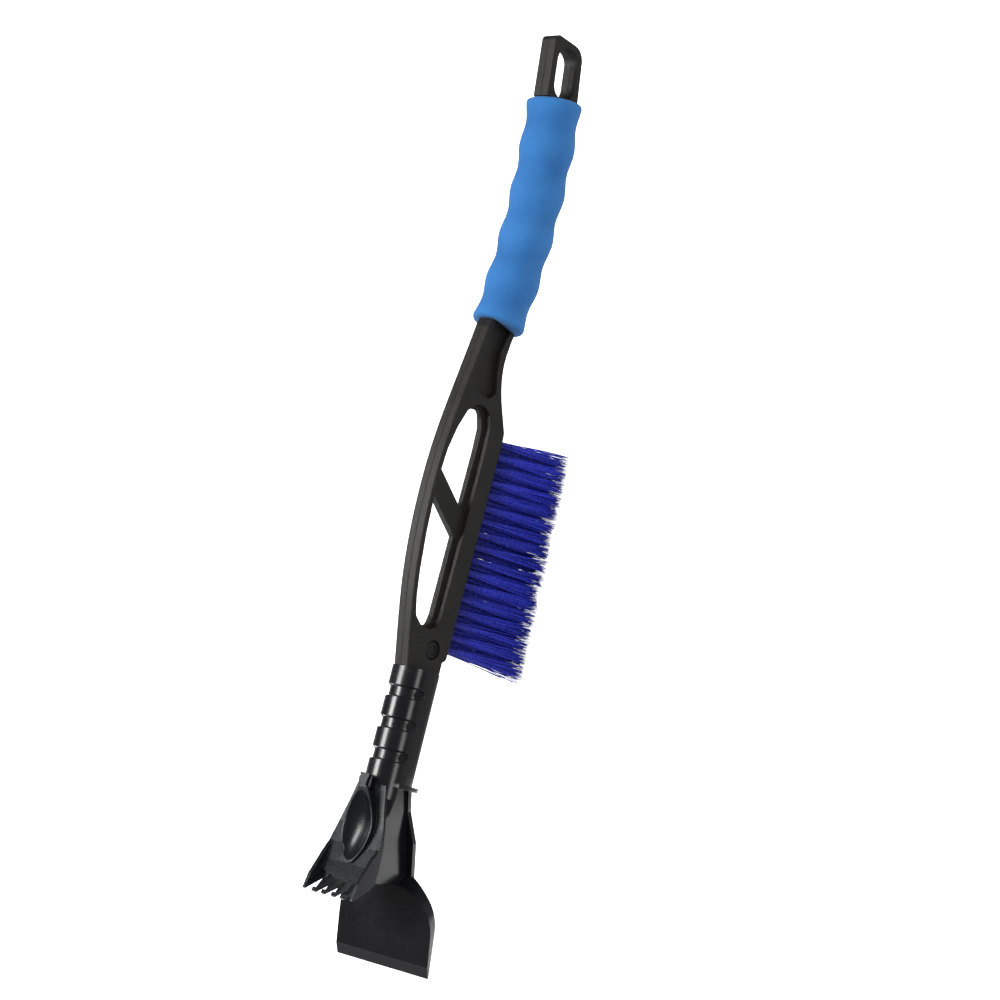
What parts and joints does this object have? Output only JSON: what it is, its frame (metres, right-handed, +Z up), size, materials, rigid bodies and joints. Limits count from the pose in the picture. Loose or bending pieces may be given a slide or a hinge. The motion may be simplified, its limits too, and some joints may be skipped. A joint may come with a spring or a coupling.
{
  "type": "snow brush with ice scraper",
  "caption": "Hand snow brush and ice scraper: framed handle with foam grip and hang slot, a bed of stiff bristles, and a detachable head with blade and ice breaker claw.",
  "frame": {"origin": "middle of the bounding box at the level of the bristle tips, which the tool stands on", "axes": "+X from the scraper blade towards the hang slot, +Y to the tool's side, +Z up from the bristle tips to the spine"},
  "size_m": [0.657, 0.0886, 0.1326],
  "materials": {
    "frame_black": "fine textured",
    "foam_blue": "closed cell foam",
    "bristle_blue": "crimped filament",
    "staple_steel": "drawn wire",
    "head_black": "gloss",
    "claw_black": "semi gloss",
    "button_black": "satin",
    "spring_steel": "spring strip"
  },
  "bodies": {
    "handle": {"handle_frame": "frame_black", "foam_grip": "foam_blue", "tufts_01": "bristle_blue", "tufts_02": "bristle_blue", "tufts_03": "bristle_blue", "tufts_04": "bristle_blue", "tufts_05": "bristle_blue", "tufts_06": "bristle_blue", "tufts_07": "bristle_blue", "tufts_08": "bristle_blue", "tufts_09": "bristle_blue", "tufts_10": "bristle_blue", "tufts_11": "bristle_blue", "tufts_12": "bristle_blue", "tufts_13": "bristle_blue", "tufts_14": "bristle_blue", "tufts_15": "bristle_blue", "tufts_16": "bristle_blue", "tufts_17": "bristle_blue", "tuft_staples": "staple_steel"},
    "head": {"scraper_head": "head_black", "ice_breaker_claw": "claw_black", "button_spring": "spring_steel"},
    "button": {"release_button": "button_black"}
  },
  "joints": [
    {"name": "head_pull_out", "type": "slide", "parent": "handle", "child": "head", "axis": [-0.9992, 0, 0.0401], "range_m": [0, 0.18]},
    {"name": "button_press", "type": "slide", "parent": "head", "child": "button", "axis": [0, 1, 0], "range_m": [0, 0.003], "stiffness_N_per_m": 900, "deforming": ["button_spring"]}
  ]
}
